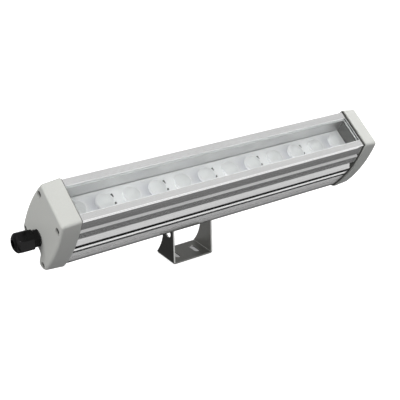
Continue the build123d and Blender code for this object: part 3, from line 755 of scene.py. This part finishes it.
def carve(piece, cutter, operation="DIFFERENCE"):
    """Cuts one solid by another and removes the cutter."""
    bpy.ops.object.select_all(action="DESELECT")
    bpy.context.view_layer.objects.active = piece
    piece.select_set(True)
    cut = piece.modifiers.new("cut", "BOOLEAN")
    cut.operation = operation
    cut.solver = "EXACT"
    cut.object = cutter
    bpy.ops.object.modifier_apply(modifier="cut")
    bpy.data.objects.remove(cutter)


def join_pieces(name, parts):
    """Joins solids into one piece and smooths its rounded faces."""
    bpy.ops.object.select_all(action="DESELECT")
    for part in parts:
        part.select_set(True)
    bpy.context.view_layer.objects.active = parts[0]
    if len(parts) > 1:
        bpy.ops.object.join()
    whole = bpy.context.view_layer.objects.active
    whole.name = name
    whole.data.name = name
    bpy.ops.object.shade_smooth_by_angle(angle=math.radians(32))
    return whole


def finish_piece(piece, material, body, slot, *nodes):
    """Gives a piece its material and its body, and hides the CAD nodes it stands for; its slot is
    not used.
    """
    piece.data.materials.clear()
    piece.data.materials.append(material)
    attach(piece, body)
    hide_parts(*nodes)


def hexagon(name, across, low, high, both_ends):
    """A hexagonal prism about Z with the usual turned chamfer on its corners."""
    corner = across / 2 / math.cos(math.radians(30))
    face_radius = across / 2 * 0.97
    chamfer_slope = 0.58
    cut_margin = 0.0005
    prism = turned_piece(name, 6, [(low, corner), (high, corner)])
    drop = (corner - face_radius) * chamfer_slope
    if both_ends:
        start = [(low, face_radius), (low + drop, corner)]
    else:
        start = [(low - cut_margin, corner)]
    barrel = turned_piece("chamfer", 72, start + [(high - drop, corner), (high, face_radius)])
    carve(prism, barrel, "INTERSECT")
    return prism


def threaded_rod(name, low, high, radius, pitch):
    """A rod about Z with a chamfered tip at its low end and thread ridges along it.

    In each pitch the thread rises to its crest, keeps it for 15 per cent and falls to its root.
    """
    root = radius * 0.87
    stations = [(low, root * 0.9), (low + pitch * 0.4, root)]
    ridges = int((high - low - pitch) / pitch)
    for i in range(ridges):
        foot = low + pitch * (0.5 + i)
        for share, reach in ((0.35, radius), (0.5, radius), (0.85, root)):
            stations.append((foot + pitch * share, reach))
    stations.append((high, root))
    return turned_piece(name, 40, stations)


def copy_of(piece, matrix):
    """A copy of a piece with its own mesh, put in its place."""
    twin = piece.copy()
    twin.data = piece.data.copy()
    bpy.context.scene.collection.objects.link(twin)
    into_place(twin, matrix)
    return twin


# Each is made about Z with its head up, then laid along X on the pivot's line at both legs.
# Heights are distances from the bracket's middle.
on_pivot = Matrix.Translation((0, lamp_spot[1], lamp_spot[2]))
lay_down = Matrix.Rotation(math.radians(90), 4, "Y")
at_right_leg = on_pivot @ lay_down
at_left_leg = on_pivot @ Matrix.Rotation(math.radians(180), 4, "Z") @ lay_down


def at_both_legs(name, piece, node):
    """Two like fasteners as one piece of the bracket, in place of a node's plain solids."""
    coat_with(stainless, node)
    pair = join_pieces(name, [copy_of(piece, at_right_leg), copy_of(piece, at_left_leg)])
    bpy.data.objects.remove(piece)
    finish_piece(pair, stainless, "bracket", "fastener_steel", node)


hexagon_across = 0.010
bolt_radius = 0.003
bolt_pitch = 0.001
bolt_tip = 0.01045
leg_outside = 0.0220
washer_top = 0.0236
head_top = 0.0276
shank_in_head = 0.0004
bolt_head = hexagon("bolt_head", hexagon_across, washer_top, head_top, both_ends=False)
bolt_shank = threaded_rod(
    "bolt_shank", bolt_tip, washer_top + shank_in_head, bolt_radius, bolt_pitch
)
at_both_legs("hex_bolts", join_pieces("hex_bolt", [bolt_head, bolt_shank]), "pivot_bolts")

nut_low = 0.01145
nut_high = 0.01745
hole_radius = 0.0031
nut = hexagon("hex_nut", hexagon_across, nut_low, nut_high, both_ends=True)
# The bore widens at both faces of the nut, past which its cutter runs on.
nut_bore = [
    (nut_low - 0.00145, 0.0037),
    (nut_low + 0.0005, hole_radius),
    (nut_high - 0.00045, hole_radius),
    (nut_high + 0.00105, 0.0039),
]
carve(nut, turned_piece("nut_bore", 40, nut_bore))
at_both_legs("hex_nuts", nut, "pivot_nuts")

washer_radius = 0.0059
washer_round = 0.0001
washer_section = [
    (leg_outside, washer_radius - 2 * washer_round),
    (leg_outside + washer_round, washer_radius),
    (washer_top - washer_round, washer_radius),
    (washer_top, washer_radius - 2 * washer_round),
]
washer = turned_piece("split_washer", 64, washer_section)
washer_bore = [(leg_outside - 0.001, hole_radius), (washer_top + 0.0014, hole_radius)]
carve(washer, turned_piece("washer_bore", 64, washer_bore))
# The washer is split by a slanting slot through one side of its ring.
split_width = 0.0006
split_slant = math.radians(24)
ring_middle = (hole_radius + washer_radius) / 2
washer_middle = (leg_outside + washer_top) / 2
bpy.ops.object.select_all(action="DESELECT")
bpy.ops.mesh.primitive_cube_add(size=1.0)
split = start_piece("split")
split.data.transform(
    Matrix.Translation((0, ring_middle, washer_middle))
    @ Matrix.Rotation(split_slant, 4, "Y")
    @ Matrix.Diagonal((split_width, 0.005, 0.004, 1))
)
carve(washer, split)
at_both_legs("split_washers", washer, "spring_washers")

# ---------------------------------------------------------------- hanger screws
# Two M5 socket-head screws clamp the hanger to square nuts that slide in the housing's channel.
# Their heads are knurled round the side and have a hexagon socket.
# They are made about the lamp's own Z, with their heads down.
coat_with(stainless, "hanger_screws")
head_low = 0.0206
head_seat = 0.0255
head_radius = 0.00425
head_bevel = 0.0003
head_section = [
    (head_low, 0.0038),
    (head_low + head_bevel, head_radius),
    (head_seat - head_bevel, head_radius),
    (head_seat, 0.0040),
]
screw_head = turned_piece("screw_head", 72, head_section)
# Every other face round the side is pressed in, which leaves the ridges of the knurl.
knurl_step = 10.0
knurl_ridge = 0.00008
knurl_depth = 0.00014
bpy.ops.object.mode_set(mode="EDIT")
bpy.ops.mesh.select_mode(type="FACE")
bpy.ops.mesh.select_all(action="DESELECT")
bpy.ops.object.mode_set(mode="OBJECT")
for face in screw_head.data.polygons:
    turn = math.degrees(math.atan2(face.center.y, face.center.x)) % knurl_step
    on_side = abs(face.normal.z) < 0.1 and face.center.xy.length > 0.004
    face.select = on_side and turn < knurl_step / 2
bpy.ops.object.mode_set(mode="EDIT")
bpy.ops.mesh.inset(thickness=knurl_ridge, depth=-knurl_depth, use_individual=True)
bpy.ops.object.mode_set(mode="OBJECT")
# The hexagon socket ends in a shallow point.
socket_radius = 0.00231
socket_depth = 0.0025
socket_point = 0.0009
socket_section = [
    (head_low - 0.0011, socket_radius),
    (head_low + socket_depth, socket_radius),
    (head_low + socket_depth + socket_point, 0.0003),
]
carve(screw_head, turned_piece("socket", 6, socket_section))
screw_tip = 0.0346
screw_radius = 0.00245
screw_pitch = 0.0008
screw_shank = threaded_rod(
    "screw_shank", -screw_tip, -(head_seat - head_bevel), screw_radius, screw_pitch
)
screw_shank.data.transform(Matrix.Rotation(math.radians(180), 4, "X"))
screw = join_pieces("socket_screw", [screw_head, screw_shank])
# They stand to both sides of the bracket's middle, which is not the bar's.
screw_reach = 0.010
screw_places = (-lamp_spot[0] - screw_reach, -lamp_spot[0] + screw_reach)
screw_copies = [copy_of(screw, lamp_matrix @ Matrix.Translation((x, 0, 0))) for x in screw_places]
socket_screws = join_pieces("socket_screws", screw_copies)
bpy.data.objects.remove(screw)
finish_piece(socket_screws, stainless, "lamp", "fastener_steel", "hanger_screws")
